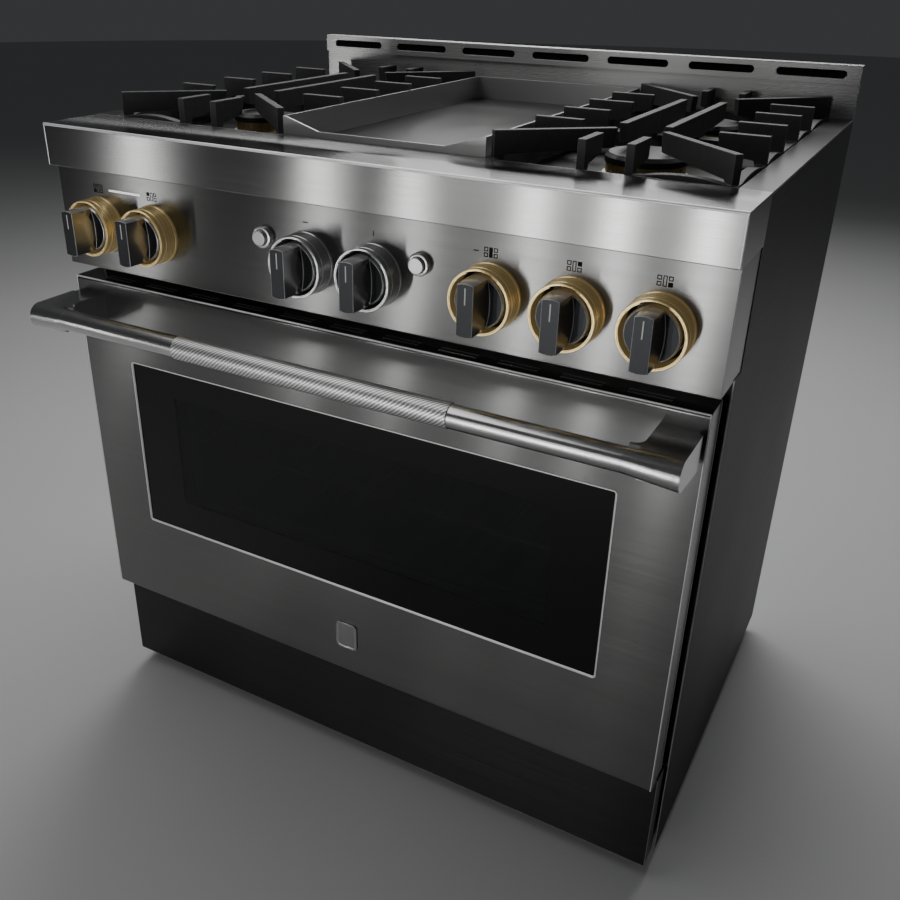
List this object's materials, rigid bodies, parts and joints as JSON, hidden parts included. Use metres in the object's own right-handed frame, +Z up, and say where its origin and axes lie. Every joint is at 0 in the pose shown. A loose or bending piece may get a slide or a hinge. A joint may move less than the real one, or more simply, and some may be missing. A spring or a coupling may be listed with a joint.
{
  "type": "gas range",
  "caption": "Free-standing gas range with open burners under cast grates, a centre griddle, front knobs and one oven with a drop-down windowed door and bar handle.",
  "frame": {"origin": "on the floor, under the middle of the range's overall length and width", "axes": "+X to the right seen from the front, +Y towards the back, +Z up"},
  "size_m": [0.911, 0.7546, 0.9877],
  "materials": {
    "stainless": "horizontal brushed, satin",
    "dark_side_steel": "satin grey enamel",
    "polished_steel": "polished",
    "brass": "satin brushed",
    "black_iron": "matte black enamel",
    "black_enamel": "gloss porcelain enamel on steel",
    "oven_enamel": "speckled porcelain enamel on steel",
    "tinted_glass": "dark tinted, tempered",
    "clear_glass": "clear tempered",
    "galvanised": "galvanised sheet",
    "fibre": "mineral fibre blanket",
    "seal": "woven glass rope",
    "nickel_wire": "nickel plated wire",
    "aluminium": "cast, satin",
    "griddle_steel": "ground plate",
    "motor_black": "satin"
  },
  "bodies": {
    "range_body": {"back_panel": "galvanised", "backguard_cap": "stainless", "backguard_riser": "stainless", "bake_burner": "galvanised", "base_frame": "galvanised", "brass_bezels": "brass", "broil_burner": "galvanised", "burner_bases": "aluminium", "burner_caps": "black_enamel", "burner_port_rings": "brass", "control_panel": "stainless", "control_valves": "galvanised", "cooktop_pan": "stainless", "door_gasket": "seal", "door_hinges": "galvanised", "fan_cover": "oven_enamel", "fan_motor": "motor_black", "front_fascia": "stainless", "gas_manifold": "galvanised", "griddle_burner": "galvanised", "griddle_plate": "griddle_steel", "griddle_surround": "stainless", "kick_panel": "stainless", "levelling_legs": "galvanised", "oven_cavity": "oven_enamel", "oven_front_frame": "dark_side_steel", "oven_insulation": "fibre", "rack_guides": "nickel_wire", "side_panel_left": "dark_side_steel", "side_panel_right": "dark_side_steel", "steel_bezels": "polished_steel"},
    "door": {"door_skin": "stainless", "door_liner": "oven_enamel", "door_outer_glass": "tinted_glass", "door_inner_glass": "clear_glass", "handle_bar": "stainless", "handle_sleeve": "stainless", "handle_brackets": "polished_steel"},
    "oven_rack_lower": {"oven_rack_lower": "nickel_wire"},
    "oven_rack_middle": {"oven_rack_middle": "nickel_wire"},
    "oven_rack_upper": {"oven_rack_upper": "nickel_wire"},
    "grate_front_left": {"grate_front_left": "black_iron"},
    "grate_front_right": {"grate_front_right": "black_iron"},
    "grate_rear_left": {"grate_rear_left": "black_iron"},
    "grate_rear_right": {"grate_rear_right": "black_iron"},
    "knob_left_front": {"knob_left_front": "polished_steel"},
    "knob_left_rear": {"knob_left_rear": "polished_steel"},
    "knob_oven_mode": {"knob_oven_mode": "polished_steel"},
    "knob_oven_heat": {"knob_oven_heat": "polished_steel"},
    "knob_griddle": {"knob_griddle": "polished_steel"},
    "knob_right_rear": {"knob_right_rear": "polished_steel"},
    "knob_right_front": {"knob_right_front": "polished_steel"},
    "valve_stem_left_front": {"valve_stem_left_front": "polished_steel"},
    "valve_stem_left_rear": {"valve_stem_left_rear": "polished_steel"},
    "valve_stem_griddle": {"valve_stem_griddle": "polished_steel"},
    "valve_stem_right_rear": {"valve_stem_right_rear": "polished_steel"},
    "valve_stem_right_front": {"valve_stem_right_front": "polished_steel"},
    "button_left": {"button_left": "polished_steel"},
    "button_right": {"button_right": "polished_steel"},
    "fan_blade": {"fan_blade": "galvanised"}
  },
  "joints": [
    {"name": "door_hinge", "type": "hinge", "parent": "range_body", "child": "door", "pos_m": [0, -0.2725, 0.195], "axis": [1, 0, 0], "range_deg": [0, 90]},
    {"name": "rack_lower_slide", "type": "slide", "parent": "range_body", "child": "oven_rack_lower", "axis": [0, -1, 0], "range_m": [0, 0.03]},
    {"name": "rack_middle_slide", "type": "slide", "parent": "range_body", "child": "oven_rack_middle", "axis": [0, -1, 0], "range_m": [0, 0.03]},
    {"name": "rack_upper_slide", "type": "slide", "parent": "range_body", "child": "oven_rack_upper", "axis": [0, -1, 0], "range_m": [0, 0.03]},
    {"name": "grate_front_left_lift", "type": "slide", "parent": "range_body", "child": "grate_front_left", "axis": [0, 0, 1], "range_m": [0, 0.12]},
    {"name": "grate_front_right_lift", "type": "slide", "parent": "range_body", "child": "grate_front_right", "axis": [0, 0, 1], "range_m": [0, 0.12]},
    {"name": "grate_rear_left_lift", "type": "slide", "parent": "range_body", "child": "grate_rear_left", "axis": [0, 0, 1], "range_m": [0, 0.12]},
    {"name": "grate_rear_right_lift", "type": "slide", "parent": "range_body", "child": "grate_rear_right", "axis": [0, 0, 1], "range_m": [0, 0.12]},
    {"name": "knob_left_front_push", "type": "slide", "parent": "range_body", "child": "valve_stem_left_front", "axis": [0, 1, 0], "range_m": [0, 0.004], "stiffness_N_per_m": 900},
    {"name": "knob_left_front_turn", "type": "hinge", "parent": "valve_stem_left_front", "child": "knob_left_front", "pos_m": [-0.3835, -0.2975, 0.786], "axis": [0, 1, 0], "range_deg": [-270, 0]},
    {"name": "knob_left_rear_push", "type": "slide", "parent": "range_body", "child": "valve_stem_left_rear", "axis": [0, 1, 0], "range_m": [0, 0.004], "stiffness_N_per_m": 900},
    {"name": "knob_left_rear_turn", "type": "hinge", "parent": "valve_stem_left_rear", "child": "knob_left_rear", "pos_m": [-0.289, -0.2975, 0.786], "axis": [0, 1, 0], "range_deg": [-270, 0]},
    {"name": "knob_oven_mode_turn", "type": "hinge", "parent": "range_body", "child": "knob_oven_mode", "pos_m": [-0.0472, -0.2975, 0.786], "axis": [0, 1, 0], "range_deg": [-150, 150]},
    {"name": "knob_oven_heat_turn", "type": "hinge", "parent": "range_body", "child": "knob_oven_heat", "pos_m": [0.0472, -0.2975, 0.786], "axis": [0, 1, 0], "range_deg": [0, 290]},
    {"name": "knob_griddle_push", "type": "slide", "parent": "range_body", "child": "valve_stem_griddle", "axis": [0, 1, 0], "range_m": [0, 0.004], "stiffness_N_per_m": 900},
    {"name": "knob_griddle_turn", "type": "hinge", "parent": "valve_stem_griddle", "child": "knob_griddle", "pos_m": [0.1945, -0.2975, 0.786], "axis": [0, 1, 0], "range_deg": [-240, 0]},
    {"name": "knob_right_rear_push", "type": "slide", "parent": "range_body", "child": "valve_stem_right_rear", "axis": [0, 1, 0], "range_m": [0, 0.004], "stiffness_N_per_m": 900},
    {"name": "knob_right_rear_turn", "type": "hinge", "parent": "valve_stem_right_rear", "child": "knob_right_rear", "pos_m": [0.289, -0.2975, 0.786], "axis": [0, 1, 0], "range_deg": [-270, 0]},
    {"name": "knob_right_front_push", "type": "slide", "parent": "range_body", "child": "valve_stem_right_front", "axis": [0, 1, 0], "range_m": [0, 0.004], "stiffness_N_per_m": 900},
    {"name": "knob_right_front_turn", "type": "hinge", "parent": "valve_stem_right_front", "child": "knob_right_front", "pos_m": [0.3835, -0.2975, 0.786], "axis": [0, 1, 0], "range_deg": [-270, 0]},
    {"name": "button_left_press", "type": "slide", "parent": "range_body", "child": "button_left", "axis": [0, 1, 0], "range_m": [0, 0.0025], "stiffness_N_per_m": 800},
    {"name": "button_right_press", "type": "slide", "parent": "range_body", "child": "button_right", "axis": [0, 1, 0], "range_m": [0, 0.0025], "stiffness_N_per_m": 800},
    {"name": "fan_spin", "type": "hinge", "parent": "range_body", "child": "fan_blade", "pos_m": [0, 0.2475, 0.467], "axis": [0, 1, 0], "continuous": true}
  ]
}
